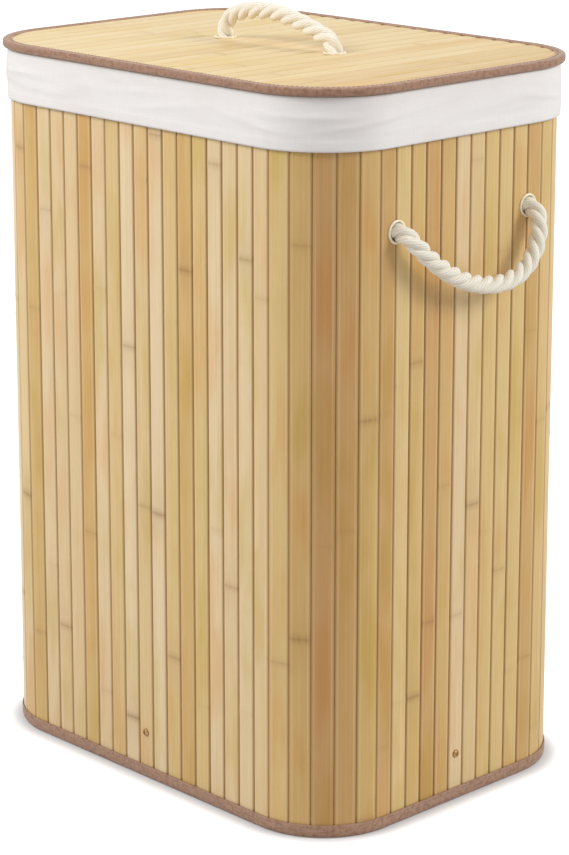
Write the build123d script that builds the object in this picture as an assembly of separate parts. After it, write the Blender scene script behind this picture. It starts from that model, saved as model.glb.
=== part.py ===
from build123d import *
import math
import os

# Laundry hamper: a mat of bamboo slats on cloth, bent into a tall box with rounded corners,
# with a base board, a cotton liner turned over the rim, a lift-off slatted lid and rope handles.
# Millimetres. The origin is on the floor under the middle, +Z is up and the wide front faces -Y.

# Wall mat
basket_width = 416.0
basket_depth = 305.0
basket_height = 592.2
corner_radius = 70.0
corner_slats = 5
slat_spacing = 17.2
slat_gap = 1.0
slat_thickness = 2.2
slat_chamfer = 0.5
backing_thickness = 0.8

# Cloth tape bound over the mat's top and bottom edges
tape_thickness = 0.9
bottom_tape_height = 11.0
top_tape_height = 12.0

# Base board and the four screws that hold it
board_thickness = 9.0
board_middle_height = 40.0
board_clearance = 0.3
screw_head_diameter = 6.5
screw_head_height = 1.8
screw_head_chamfer = 0.8
screw_shank_diameter = 3.2
screw_length = 20.0
screw_clearance = 0.2
pilot_hole_allowance = 2.0

# Cotton liner
liner_cloth = 0.8
cuff_height = 42.3
hem_width = 9.0
hem_cloth = 0.8
bag_knot_room = 3.0

# Lid
lid_overhang = 6.0
lid_board_thickness = 2.0
lid_slat_thickness = 1.8
lid_slat_spacing = 18.5
lid_slat_gap = 0.4
lid_slat_chamfer = 0.3
lid_lining_thickness = 0.8
lid_tape_width = 8.0
lid_tape_clearance = 0.2

# Twisted cotton rope, its eyelets and its knots
rope_diameter = 14.5
rope_corner_ease = 0.45
rope_tip_steps = ((2.7, 0.9), (5.6, 0.58))
eyelet_clearance = 0.25
eyelet_wall = 0.6
eyelet_flange_width = 1.5
eyelet_flange_thickness = 1.6
eyelet_flange_chamfer = 0.6
washer_thickness = 1.2
eyelet_hole_clearance = 0.2
knot_diameter = 27.0
knot_length = 20.0
knot_chamfer = 5.0
side_eyelet_drop = 66.0
slats_outside_eyelet = 1
lid_eyelet_span = 132.0

# Room between pieces that lift off one another
fit_clearance = 0.3

# Flats that stand for round forms, and the reach of the hole cutters to both sides of a surface
eyelet_flat_count = 16
hole_flat_count = 8
knot_flat_count = 12
rope_flat_count = 8
screw_flat_count = 8
cutter_reach = 12.0

# Places worked out from the sizes above
wall_thickness = slat_thickness + backing_thickness
half_width = basket_width / 2
half_depth = basket_depth / 2
corner_turn = 90 / (corner_slats + 1)
corner_flat = 2 * corner_radius * math.tan(math.radians(corner_turn / 2))
rim_inset = wall_thickness + tape_thickness
mat_bottom = tape_thickness
mat_top = basket_height - tape_thickness
board_bottom = board_middle_height - board_thickness / 2
board_top = board_middle_height + board_thickness / 2
fold_bottom = basket_height + fit_clearance
fold_top = fold_bottom + liner_cloth
cuff_lower_edge = fold_top - cuff_height
side_eyelet_height = cuff_lower_edge - side_eyelet_drop
lid_bottom = fold_top + fit_clearance
lining_bottom = lid_bottom + tape_thickness
lid_board_bottom = lining_bottom + lid_lining_thickness
lid_slat_bottom = lid_board_bottom + lid_board_thickness
lid_slat_top = lid_slat_bottom + lid_slat_thickness
lid_top = lid_slat_top + tape_thickness
lid_width = basket_width + 2 * lid_overhang
lid_depth = basket_depth + 2 * lid_overhang
lid_radius = corner_radius + lid_overhang
rope_radius = rope_diameter / 2
eyelet_bore = rope_radius + eyelet_clearance
eyelet_barrel = eyelet_bore + eyelet_wall
eyelet_hole = eyelet_barrel + eyelet_hole_clearance
eyelet_flange = eyelet_barrel + eyelet_flange_width
swing_offset = eyelet_flange_thickness + fit_clearance + rope_radius


def odd_count(length, spacing):
    """Whole odd number of slats that fits the length best, so that one slat is in the middle."""
    return 2 * round((length / spacing - 1) / 2) + 1


def slat_centres(length, count):
    """Middles of the slats along a straight side, measured from the side's middle."""
    pitch = length / count
    return [(place - (count - 1) / 2) * pitch for place in range(count)]


def nearest_joint(distance, length, count):
    """Distance from the middle to the slat joint nearest to a wanted distance."""
    pitch = length / count
    return (round(distance / pitch - 0.5) + 0.5) * pitch


front_length = basket_width - 2 * corner_radius + corner_flat
side_length = basket_depth - 2 * corner_radius + corner_flat
front_count = odd_count(front_length, slat_spacing)
side_count = odd_count(side_length, slat_spacing)
side_pitch = side_length / side_count
side_eyelet_y = side_length / 2 - slats_outside_eyelet * side_pitch
lid_core_inset = tape_thickness + lid_tape_clearance
lid_core_width = lid_width - 2 * lid_core_inset
lid_core_depth = lid_depth - 2 * lid_core_inset
lid_slat_count = odd_count(lid_core_width, lid_slat_spacing)
lid_eyelet_x = nearest_joint(lid_eyelet_span / 2, lid_core_width, lid_slat_count)


def corner_centre(quarter):
    """Middle of a rounded corner: 0 is back right, then anticlockwise seen from above."""
    side_x = 1 if quarter in (0, 3) else -1
    side_y = 1 if quarter in (0, 1) else -1
    return side_x * (half_width - corner_radius), side_y * (half_depth - corner_radius)


def outline(inset, narrower=0.0):
    """Plan of the bent mat drawn in by inset: straight sides, and one flat for each corner slat.

    narrower draws the left and right sides further in, with the corners moved along with them.
    """
    reach = (corner_radius - inset) / math.cos(math.radians(corner_turn / 2))
    points = []
    for quarter in range(4):
        centre_x, centre_y = corner_centre(quarter)
        centre_x -= math.copysign(narrower, centre_x)
        for joint in range(corner_slats + 1):
            angle = math.radians(90 * quarter + corner_turn * (joint + 0.5))
            points.append((centre_x + reach * math.cos(angle), centre_y + reach * math.sin(angle)))
    return points


def prism(plan, low, high):
    """Upright solid on a plan outline, from one height to another."""
    return Pos(0, 0, low) * extrude(make_face(Polyline(*plan, close=True)), high - low)


def through_rings(rings):
    """Flat-faced solid through rings that have the same number of corners."""
    faces = [Face(Wire.make_polygon(rings[0])), Face(Wire.make_polygon(rings[-1]))]
    for lower, upper in zip(rings, rings[1:]):
        for here in range(len(lower)):
            after = (here + 1) % len(lower)
            corners = [lower[here], lower[after], upper[after], upper[here]]
            faces.append(Face(Wire.make_polygon(corners)))
    return Solid(Shell(faces))


def stack(levels):
    """Flat-faced solid through plan outlines at rising heights, given as (height, plan) pairs."""
    return through_rings([[Vector(x, y, height) for x, y in plan] for height, plan in levels])


def slat(width, thickness, edge_break, length):
    """One bamboo slat on end: outer face at x = 0 facing +X, with its two outer edges broken."""
    half = width / 2
    profile = [
        (-thickness, -half),
        (-edge_break, -half),
        (0, edge_break - half),
        (0, half - edge_break),
        (-edge_break, half),
        (-thickness, half),
    ]
    return extrude(make_face(Polyline(*profile, close=True)), length)


def rod(radius, flat_count, low, high):
    """Many-sided rod about Z whose corners lie on a circle of this radius."""
    return Pos(0, 0, low) * extrude(RegularPolygon(radius, flat_count), high - low)


def cutter(radius, flat_count, low=-cutter_reach, high=cutter_reach):
    """Many-sided cutter about Z that leaves a circle of this radius clear."""
    return Pos(0, 0, low) * extrude(RegularPolygon(radius, flat_count, major_radius=False), high - low)


def without(solids, holes):
    """The solids with every hole cut from them, as a plain list of solids."""
    cut = []
    for solid in solids:
        for hole in holes:
            solid = solid - hole
        cut.extend(solid.solids())
    return cut


os.makedirs("parts", exist_ok=True)


def save(node, solids):
    """Write one node's solids to its own file."""
    export_step(Compound(children=list(solids)), f"parts/{node}.step")


# The four sides, as the turn of each outward face about Z
sides = {"right": 0, "back": 90, "left": 180, "front": 270}
side_faces = {
    "right": (half_width, side_length, side_count),
    "back": (half_depth, front_length, front_count),
    "left": (half_width, side_length, side_count),
    "front": (half_depth, front_length, front_count),
}


def on_side(side, along, height, outwards=0.0):
    """Place on a side's outer face: local X points outwards and local Y runs along the side."""
    distance = side_faces[side][0]
    return Rot(0, 0, sides[side]) * Pos(distance + outwards, along, height)


def through_wall(side, along, height, radius):
    """Cutter that passes right through the wall of one side."""
    return on_side(side, along, height) * Rot(0, 90, 0) * cutter(radius, hole_flat_count)


eyelet_places = [
    (side, along) for side in ("left", "right") for along in (-side_eyelet_y, side_eyelet_y)
]
wall_holes = {side: [] for side in sides}
for side in sides:
    screw_hole = screw_shank_diameter / 2 + screw_clearance
    wall_holes[side].append(through_wall(side, 0, board_middle_height, screw_hole))
for side, along in eyelet_places:
    wall_holes[side].append(through_wall(side, along, side_eyelet_height, eyelet_hole))

# Bamboo slats of the four sides and the four corners
mat_height = mat_top - mat_bottom
for side, (distance, length, count) in side_faces.items():
    strip = slat(length / count - slat_gap, slat_thickness, slat_chamfer, mat_height)
    row = [on_side(side, along, mat_bottom) * strip for along in slat_centres(length, count)]
    save(f"{side}_slats", without(row, wall_holes[side]))

corner_names = ("back_right", "back_left", "front_left", "front_right")
corner_strip = slat(corner_flat - slat_gap, slat_thickness, slat_chamfer, mat_height)
for quarter, name in enumerate(corner_names):
    centre = Pos(*corner_centre(quarter), mat_bottom)
    bend = []
    for place in range(corner_slats):
        turn = 90 * quarter + corner_turn * (place + 1)
        bend.append(centre * Rot(0, 0, turn) * Pos(corner_radius, 0, 0) * corner_strip)
    save(f"{name}_corner_slats", without(bend, []))

# Cloth backing that the slats are glued to
backing = prism(outline(slat_thickness), mat_bottom, mat_top)
backing -= prism(outline(wall_thickness), mat_bottom, mat_top)
all_wall_holes = [hole for holes in wall_holes.values() for hole in holes]
save("wall_backing", without([backing], all_wall_holes))


def bound_edge(low, high, mat_low, mat_high):
    """Tape folded over one edge of the mat: a channel that takes the mat between its heights."""
    band = prism(outline(-tape_thickness), low, high) - prism(outline(rim_inset), low, high)
    slot = prism(outline(0), mat_low, mat_high) - prism(outline(wall_thickness), mat_low, mat_high)
    return band - slot


save("bottom_edging", bound_edge(0, bottom_tape_height, mat_bottom, bottom_tape_height).solids())
top_tape_bottom = basket_height - top_tape_height
save("top_edging", bound_edge(top_tape_bottom, basket_height, top_tape_bottom, mat_top).solids())

# Base board, screwed through the middle of each wall
pilot_radius = screw_shank_diameter / 2 + screw_clearance
pilot_depth = screw_length + pilot_hole_allowance
board = prism(outline(wall_thickness + board_clearance), board_bottom, board_top)
screw_head = rod(screw_head_diameter / 2, screw_flat_count, 0, screw_head_height)
screw_head = chamfer(screw_head.edges().group_by(Axis.Z)[-1], screw_head_chamfer)
screw = screw_head + rod(screw_shank_diameter / 2, screw_flat_count, -screw_length, 0)
pilots = []
screws = []
for side in sides:
    into_wall = on_side(side, 0, board_middle_height) * Rot(0, 90, 0)
    pilots.append(into_wall * cutter(pilot_radius, hole_flat_count, -pilot_depth, 0))
    screws.extend((into_wall * screw).solids())
save("base_board", without([board], pilots))
save("base_screws", screws)


# Eyelets with a raised flange, the washers that lock them and the knotted rope ends behind them
def eyelet(panel):
    """Flanged eyelet for a panel of this thickness, with its flange above z = 0."""
    flange = rod(eyelet_flange, eyelet_flat_count, 0, eyelet_flange_thickness)
    flange = chamfer(flange.edges().group_by(Axis.Z)[-1], eyelet_flange_chamfer)
    barrel = rod(eyelet_barrel, eyelet_flat_count, -panel - washer_thickness, 0)
    return flange + barrel - cutter(eyelet_bore, eyelet_flat_count)


def washer(panel):
    """Flat ring on the far side of the panel, round the eyelet's barrel."""
    ring = rod(eyelet_flange, eyelet_flat_count, -panel - washer_thickness, -panel)
    return ring - cutter(eyelet_hole, eyelet_flat_count)


def rope_end(panel):
    """End of a rope behind the panel: a short length through the eyelet, and the knot that holds it."""
    knot_face = -panel - washer_thickness
    knot = rod(knot_diameter / 2, knot_flat_count, knot_face - knot_length, knot_face)
    knot = chamfer(knot.edges().filter_by(Axis.Z, reverse=True), knot_chamfer)
    return knot + rod(rope_radius, rope_flat_count, knot_face, eyelet_flange_thickness)


def save_at(node, places, piece):
    """Write a node that has the same piece at each of its places."""
    save(node, [solid for at in places for solid in (at * piece).solids()])


for side in ("left", "right"):
    places = [
        on_side(side, along, side_eyelet_height) * Rot(0, 90, 0)
        for eyelet_side, along in eyelet_places
        if eyelet_side == side
    ]
    save_at(f"{side}_eyelets", places, eyelet(wall_thickness))
    save_at(f"{side}_eyelet_washers", places, washer(wall_thickness))
    save_at(f"{side}_rope_knots", places, rope_end(wall_thickness))


def rope_tip(face):
    """Blunt tip on the cut face of a rope, narrowing in steps of (length, share of the width)."""
    centre = face.center()
    outwards = face.normal_at()
    corners = [edge.position_at(0) for edge in face.outer_wire().order_edges()]
    rings = [corners]
    for length, share in rope_tip_steps:
        rings.append([centre + (corner - centre) * share + outwards * length for corner in corners])
    return through_rings(rings)


def rope(name, route):
    """Rope along a hand-chosen route, eased by arcs as large as its runs allow, with blunt tips."""
    points = [Vector(*point) for point in route]
    runs = [after - before for before, after in zip(points, points[1:])]
    radii = []
    for before, after in zip(runs, runs[1:]):
        half_turn = math.radians(before.get_angle(after) / 2)
        radii.append(rope_corner_ease * min(before.length, after.length) / math.tan(half_turn))
    path = FilletPolyline(*points, radius=radii)
    section = RegularPolygon(rope_radius, rope_flat_count)
    tube = sweep(Plane(path @ 0, z_dir=path % 0) * section, path=path)
    print(name, "length", round(path.length, 1), "radii", [round(radius) for radius in radii])
    print(name, "volume", round(tube.volume), "section x length", round(section.area * path.length))
    tips = [rope_tip(tube.faces().sort_by_distance(end)[0]) for end in (path @ 0, path @ 1)]
    return tube + tips


# Side handle at rest, from the eyelet nearest the front: outwards, along the wall and up,
# measured from the line through the two eyelets on which it swings
side_route = [
    (0, -side_eyelet_y, 0),
    (6, -67, -12),
    (9, -48, -28.5),
    (11, -24, -42.5),
    (11, 4, -50.5),
    (11, 30, -51.5),
    (10, 52, -45),
    (7, 68, -29),
    (3, 74.5, -12),
    (0, side_eyelet_y, 0),
]
side_rope = rope("side rope", side_route)
for side in ("left", "right"):
    save(f"{side}_rope", (on_side(side, 0, side_eyelet_height, swing_offset) * side_rope).solids())

# Liner: a bag that hangs from the rim, wide at its mouth and narrower below, where it passes the rope
# knots; its sewn-on cuff is turned over the rim and hemmed
bag_inset = rim_inset + fit_clearance
knot_reach = wall_thickness + washer_thickness + knot_length
bag_narrowing = knot_reach + bag_knot_room - bag_inset
bag_bottom = board_top + fit_clearance
bag_floor_top = bag_bottom + liner_cloth
bag_shoulder = side_eyelet_height + knot_diameter / 2 + bag_knot_room
cuff_inset = -tape_thickness - fit_clearance


def bag_form(inset):
    """The bag's outside drawn in by inset, from its bottom to the rim."""
    narrow = outline(inset, bag_narrowing)
    return stack([(bag_bottom, narrow), (bag_shoulder, narrow), (fold_bottom, outline(inset))])


save("liner_bag", (bag_form(bag_inset) - bag_form(bag_inset + liner_cloth)).solids())
cuff = prism(outline(cuff_inset - liner_cloth), cuff_lower_edge, fold_top)
cuff -= prism(outline(cuff_inset), cuff_lower_edge, fold_bottom)
cuff -= prism(outline(bag_inset + liner_cloth), fold_bottom, fold_top)
save("liner_cuff", cuff.solids())
floor_plan = outline(bag_inset + liner_cloth, bag_narrowing)
save("liner_floor", prism(floor_plan, bag_bottom, bag_floor_top).solids())
hem_outside = cuff_inset - liner_cloth - hem_cloth
hem = prism(outline(hem_outside), cuff_lower_edge, cuff_lower_edge + hem_width)
hem -= prism(outline(cuff_inset - liner_cloth), cuff_lower_edge, cuff_lower_edge + hem_width)
save("liner_hem", hem.solids())

# Lid: lining, board and slats in a binding of the same tape
lid_places = [Pos(x, 0, lid_slat_top) for x in (-lid_eyelet_x, lid_eyelet_x)]
lid_holes = [at * cutter(eyelet_hole, hole_flat_count) for at in lid_places]


def lid_plate(inset, low, high):
    """Flat plate of the lid's plan drawn in by inset, between two heights."""
    plan = RectangleRounded(lid_width - 2 * inset, lid_depth - 2 * inset, lid_radius - inset)
    return Pos(0, 0, low) * extrude(plan, high - low)


save("lid_lining", without([lid_plate(lid_core_inset, lining_bottom, lid_board_bottom)], lid_holes))
save("lid_board", without([lid_plate(lid_core_inset, lid_board_bottom, lid_slat_bottom)], lid_holes))
lid_pitch = lid_core_width / lid_slat_count
lid_strip = slat(lid_pitch - lid_slat_gap, lid_slat_thickness, lid_slat_chamfer, lid_core_depth)
lid_strip = Rot(90, 0, 0) * Rot(0, 0, 90) * Pos(0, 0, -lid_core_depth / 2) * lid_strip
lid_layer = lid_plate(lid_core_inset, lid_slat_bottom, lid_slat_top)
lid_row = []
for x in slat_centres(lid_core_width, lid_slat_count):
    lid_row.append((Pos(x, 0, lid_slat_top) * lid_strip) & lid_layer)
save("lid_slats", without(lid_row, lid_holes))
lid_edging = lid_plate(0, lid_bottom, lid_top)
lid_edging -= lid_plate(lid_tape_width, lid_bottom, lid_top)
lid_edging -= lid_plate(tape_thickness, lining_bottom, lid_slat_top)
save("lid_edging", lid_edging.solids())

# Lid handle: an arch of the same rope, steep at its left end, along the lid's width;
# its route is measured along the lid and up from the line through its two eyelets
lid_panel = lid_slat_top - lining_bottom
save_at("lid_eyelets", lid_places, eyelet(lid_panel))
save_at("lid_eyelet_washers", lid_places, washer(lid_panel))
save_at("lid_rope_knots", lid_places, rope_end(lid_panel))
lid_route = [
    (-lid_eyelet_x, 0, 0),
    (-58, 0, 8),
    (-42, 0, 15),
    (-18, 0, 17.5),
    (6, 0, 16),
    (30, 0, 10.5),
    (50, 0, 3.5),
    (lid_eyelet_x, 0, 0),
]
save("lid_rope", (Pos(0, 0, lid_slat_top + swing_offset) * rope("lid rope", lid_route)).solids())
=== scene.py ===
import math
import random

import bmesh
import bpy
from mathutils import Matrix, Vector
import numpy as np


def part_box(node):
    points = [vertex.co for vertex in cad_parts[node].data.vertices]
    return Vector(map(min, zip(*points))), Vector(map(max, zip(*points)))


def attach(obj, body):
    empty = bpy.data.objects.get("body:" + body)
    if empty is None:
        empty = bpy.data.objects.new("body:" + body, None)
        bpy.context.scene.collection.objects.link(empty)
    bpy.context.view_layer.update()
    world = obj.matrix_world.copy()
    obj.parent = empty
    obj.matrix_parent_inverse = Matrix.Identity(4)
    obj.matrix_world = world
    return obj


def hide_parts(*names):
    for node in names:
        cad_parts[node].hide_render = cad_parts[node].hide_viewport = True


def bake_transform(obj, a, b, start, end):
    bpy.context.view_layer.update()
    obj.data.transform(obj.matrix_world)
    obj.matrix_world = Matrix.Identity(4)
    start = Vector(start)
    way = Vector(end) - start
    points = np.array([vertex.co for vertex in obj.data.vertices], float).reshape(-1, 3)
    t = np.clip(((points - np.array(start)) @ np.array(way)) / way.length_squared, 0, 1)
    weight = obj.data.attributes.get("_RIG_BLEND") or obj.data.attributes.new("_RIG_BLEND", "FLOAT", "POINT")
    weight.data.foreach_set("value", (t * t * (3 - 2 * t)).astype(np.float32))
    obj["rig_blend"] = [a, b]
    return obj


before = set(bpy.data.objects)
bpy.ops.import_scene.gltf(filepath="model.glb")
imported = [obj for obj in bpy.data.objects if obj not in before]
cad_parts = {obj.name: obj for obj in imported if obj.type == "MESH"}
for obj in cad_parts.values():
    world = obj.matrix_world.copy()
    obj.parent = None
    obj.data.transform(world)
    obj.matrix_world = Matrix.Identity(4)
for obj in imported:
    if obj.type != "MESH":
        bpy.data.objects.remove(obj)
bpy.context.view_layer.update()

# Wall slats. Strips of split bamboo about 17 mm wide, planed and varnished, skin side out.
# They stand edge to edge, glued to the backing cloth: 17 on each wide side, 11 on each narrow
# side and 5 round each corner. Every strip has its own tone, slight bow and stem joints.
mat_bottom, mat_top = (corner.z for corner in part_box("front_slats"))
half_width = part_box("right_slats")[1].x
half_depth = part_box("back_slats")[1].y
slat_thickness = half_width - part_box("right_slats")[0].x
corner_radius = 0.070
slats_wide = 17
slats_narrow = 11
slats_corner = 5
slat_gap = 0.00045
slat_edge_radius = 0.0013
slat_edge_steps = 3
slat_crown = 0.00032
slat_crown_places = (0.7, 0.35)
slat_width_spread = 0.0003
slat_bow = 0.00007
slat_ring_spacing = 0.045
stem_joint_spacing = (0.26, 0.38)
stem_joint_strength = (0.15, 1.0)
stem_joint_ridge = 0.00028
stem_joint_length = 0.0024
stem_joint_rings = (-2.4, -1.2, -0.5, 0.0, 0.5, 1.2, 2.4)
grain_shift_limit = 50
crease_angle = 40


def slat_section(width, thickness):
    """Outline across a slat as (depth under the skin, place across), from back edge to back edge."""
    half = width / 2
    right = [(thickness, half)]
    for step in range(slat_edge_steps + 1):
        angle = math.radians(90 * step / slat_edge_steps)
        depth = slat_crown + slat_edge_radius * (1 - math.sin(angle))
        right.append((depth, half - slat_edge_radius * (1 - math.cos(angle))))
    right += [(slat_crown * share**2, half * share) for share in slat_crown_places]
    left = [(depth, -across) for depth, across in reversed(right)]
    return right + [(0.0, 0.0)] + left


def join_rings(form, rings, capped=True):
    """Faces between rings of points, and over both ends."""
    faces = [form.faces.new(rings[0]), form.faces.new(rings[-1])] if capped else []
    for lower, upper in zip(rings, rings[1:]):
        for here in range(len(lower)):
            after = (here + 1) % len(lower)
            faces.append(form.faces.new((lower[here], lower[after], upper[after], upper[here])))
    return faces


def start_slats():
    """Empty mesh in the making, with the layers that the bamboo finish reads."""
    form = bmesh.new()
    form.loops.layers.float_vector.new("grain")
    for layer in ("tone", "edge", "stem_distance", "stem_strength"):
        form.loops.layers.float.new(layer)
    return form


def stem_joints(length, chance):
    """Heights of the stem joints on one slat, each with the strength of its mark."""
    joints = []
    height = chance.uniform(-stem_joint_spacing[0], stem_joint_spacing[0])
    while height < length:
        if height > 0:
            joints.append((height, chance.uniform(*stem_joint_strength) ** 2))
        height += chance.uniform(*stem_joint_spacing)
    return joints


def add_slat(form, place, width, thickness, span, tone, chance):
    """Add one slat. span(across) gives where it starts and ends at that place across its width."""
    start, end = span(0.0)
    length = end - start
    joints = stem_joints(length, chance)
    heights = [height for height, strength in joints]
    count = round(length / slat_ring_spacing)
    stations = [length * ring / count for ring in range(count + 1)]
    for height in heights:
        stations += [height + stem_joint_length * ring for ring in stem_joint_rings]
    stations = sorted(station for station in stations if 0 <= station <= length)
    bow = chance.uniform(-slat_bow, slat_bow)
    shift = chance.uniform(0, grain_shift_limit)
    rings = []
    marks = {}
    for station in stations:
        ridge = sum(math.exp(-(((station - height) / stem_joint_length) ** 2)) for height in heights)
        near = [(abs(station - height), strength) for height, strength in joints]
        distance, mark = min(near, default=(length - station, 0.0))
        aside = bow * math.sin(math.pi * station / length)
        ring = []
        for depth, across in slat_section(width, thickness):
            low, high = span(across)
            skin_share = 1 - min(depth / slat_edge_radius, 1)
            lift = stem_joint_ridge * ridge * skin_share
            along = low + (high - low) * station / length
            vert = form.verts.new(place @ Vector((lift - depth, across + aside, along)))
            ring.append(vert)
            grain = (across + shift, depth, station + shift)
            marks[vert] = (grain, tone, abs(across) * 2 / width, distance, mark)
        rings.append(ring)
    layers = [form.loops.layers.float_vector["grain"]] + form.loops.layers.float.values()
    for face in join_rings(form, rings):
        for loop in face.loops:
            for layer, value in zip(layers, marks[loop.vert]):
                loop[layer] = value


def finish_mesh(name, form, crease=crease_angle):
    """Turn a mesh in the making into a smooth-shaded mesh with creases sharper than an angle."""
    bmesh.ops.recalc_face_normals(form, faces=form.faces)
    mesh = bpy.data.meshes.new(name)
    form.to_mesh(mesh)
    form.free()
    mesh.shade_smooth()
    mesh.set_sharp_from_angle(angle=math.radians(crease))
    return mesh


def new_piece(mesh, material, replaced=()):
    """Put a mesh into the scene with its finish, standing for the solids that it replaces."""
    piece = bpy.data.objects.new(mesh.name, mesh)
    bpy.context.scene.collection.objects.link(piece)
    mesh.materials.append(material)
    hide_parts(*replaced)
    return piece


def cut_away(piece, cutter):
    """Cut a mesh out of a piece and drop the cutter."""
    tool = bpy.data.objects.new("cutter", cutter)
    bpy.context.scene.collection.objects.link(tool)
    cut = piece.modifiers.new("cut", "BOOLEAN")
    cut.operation = "DIFFERENCE"
    cut.solver = "EXACT"
    cut.object = tool
    depsgraph = bpy.context.evaluated_depsgraph_get()
    old = piece.data
    piece.data = bpy.data.meshes.new_from_object(
        piece.evaluated_get(depsgraph), preserve_all_data_layers=True, depsgraph=depsgraph
    )
    name = old.name
    piece.modifiers.clear()
    bpy.data.meshes.remove(old)
    piece.data.name = name
    piece.data.set_sharp_from_angle(angle=math.radians(crease_angle))
    bpy.data.objects.remove(tool)
    bpy.data.meshes.remove(cutter)


def round_cutters(holes, reach, segments=40):
    """Rods for round holes, given as (place, radius) with each hole along its place's own Z."""
    form = bmesh.new()
    for place, radius in holes:
        bmesh.ops.create_cone(
            form, cap_ends=True, segments=segments, radius1=radius, radius2=radius,
            depth=reach, matrix=place,
        )
    return finish_mesh("round_cutters", form)


def srgb(red, green, blue):
    """Colour given as it looks on a screen, 0 to 255, for a shader socket."""
    linear = []
    for value in (red, green, blue):
        share = value / 255
        linear.append(share / 12.92 if share <= 0.04045 else ((share + 0.055) / 1.055) ** 2.4)
    return (*linear, 1.0)


def add_node(tree, kind, inputs=None, **settings):
    """Add a shader node. inputs gives each socket a value, or another socket to feed it."""
    node = tree.nodes.new(kind)
    for name, value in settings.items():
        setattr(node, name, value)
    for key, value in (inputs or {}).items():
        if isinstance(value, bpy.types.NodeSocket):
            tree.links.new(value, node.inputs[key])
        else:
            node.inputs[key].default_value = value
    return node


def calculate(tree, operation, *values):
    """Arithmetic on values or sockets."""
    return add_node(tree, "ShaderNodeMath", dict(enumerate(values)), operation=operation).outputs[0]


def scale_to(tree, value, low, high, out_low, out_high):
    """Map a value smoothly from one range to another."""
    inputs = {"Value": value, "From Min": low, "From Max": high, "To Min": out_low, "To Max": out_high}
    return add_node(tree, "ShaderNodeMapRange", inputs, interpolation_type="SMOOTHSTEP").outputs[0]


def blend_colour(tree, share, first, second, way="MIX"):
    """Mix two colours."""
    inputs = {0: share, 6: first, 7: second}
    return add_node(tree, "ShaderNodeMix", inputs, data_type="RGBA", blend_type=way).outputs[2]


def colour_steps(tree, value, steps):
    """Colour along a ramp of (place, colour) steps."""
    ramp = add_node(tree, "ShaderNodeValToRGB", {"Fac": value})
    elements = ramp.color_ramp.elements
    while len(elements) < len(steps):
        elements.new(0.5)
    for element, (place, colour) in zip(elements, steps):
        element.position = place
        element.color = colour
    return ramp.outputs["Color"]


def stretched_noise(tree, vector, stretch, detail=2.0, roughness=0.5):
    """Noise whose scale differs along each axis of a vector."""
    mapping = add_node(tree, "ShaderNodeMapping", {"Vector": vector, "Scale": stretch})
    inputs = {"Vector": mapping.outputs[0], "Scale": 1.0, "Detail": detail, "Roughness": roughness}
    return add_node(tree, "ShaderNodeTexNoise", inputs).outputs["Fac"]


def named_layer(tree, name, output):
    """Read a layer of the mesh."""
    return add_node(tree, "ShaderNodeAttribute", attribute_name=name).outputs[output]


def start_group(name, inputs, outputs):
    """New shader group with its inputs and outputs, given as (name, kind) pairs."""
    group = bpy.data.node_groups.new(name, "ShaderNodeTree")
    for socket, kind in inputs:
        group.interface.new_socket(socket, in_out="INPUT", socket_type=kind)
    for socket, kind in outputs:
        group.interface.new_socket(socket, in_out="OUTPUT", socket_type=kind)
    return group, add_node(group, "NodeGroupInput").outputs, add_node(group, "NodeGroupOutput").inputs


def place_group(tree, group, inputs):
    """Use a shader group in a material and give its outputs."""
    return add_node(tree, "ShaderNodeGroup", inputs, node_tree=group).outputs


def start_finish(name):
    """New material: its tree and its main shader."""
    finish = bpy.data.materials.new(name)
    finish.use_nodes = True
    return finish, finish.node_tree, finish.node_tree.nodes["Principled BSDF"]


def raise_surface(tree, shader, height, distance, strength=1.0):
    """Fine relief from a height."""
    inputs = {"Height": height, "Distance": distance, "Strength": strength}
    bump = add_node(tree, "ShaderNodeBump", inputs)
    tree.links.new(bump.outputs[0], shader.inputs["Normal"])


# Bamboo fibre, shared by the wall and the lid: long fine streaks, short darker vessel flecks and
# slow drifts of tone along the strip.
fine_fibres = (1700, 300, 9)
wide_fibres = (420, 90, 3)
fine_share, wide_share = 0.55, 0.45
vessel_flecks = (3600, 900, 95)
vessel_range = (0.6, 0.78)
slow_drift = (22, 1, 6.5)
fibre_group, fibre_in, fibre_out = start_group(
    "bamboo_fibre",
    [("Grain", "NodeSocketVector")],
    [("Streak", "NodeSocketFloat"), ("Fleck", "NodeSocketFloat"), ("Drift", "NodeSocketFloat")],
)
grain = fibre_in["Grain"]
fine_streak = stretched_noise(fibre_group, grain, fine_fibres, detail=3)
wide_streak = stretched_noise(fibre_group, grain, wide_fibres)
streak = calculate(fibre_group, "MULTIPLY", fine_streak, fine_share)
streak = calculate(fibre_group, "MULTIPLY_ADD", wide_streak, wide_share, streak)
fibre_group.links.new(streak, fibre_out["Streak"])
vessels = stretched_noise(fibre_group, grain, vessel_flecks, detail=1)
fibre_group.links.new(scale_to(fibre_group, vessels, *vessel_range, 0.0, 1.0), fibre_out["Fleck"])
fibre_group.links.new(stretched_noise(fibre_group, grain, slow_drift, detail=3), fibre_out["Drift"])

# Varnished bamboo. The stem marks are a wide soft stain, a band and a fine line, each as its
# reach and its share. Bands across a slat run from 0 in its middle to 1 at its edge.
drift_middle = 0.50
drift_ends = (0.68, 0.32)
drift_share = 0.9
streak_range = (0.3, 0.7)
streak_shades = (0.92, 1.05)
fleck_share = 0.22
stem_marks = ((0.040, 0.22), (0.007, 0.5), (0.0018, 0.5))
stem_mark_streaks = (0.3, 0.65)
stem_mark_breaks = (0.35, 1.0)
# Painted highlight: a pale band just inside each slat edge, where the rounded edge would catch the light.
bevel_band = (0.62, 0.72)
bevel_share = 0.4
edge_band = (0.74, 0.94)
varnish_roughness = (0.52, 0.40)
varnish_shine = 0.33
fibre_relief = 0.00012


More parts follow.
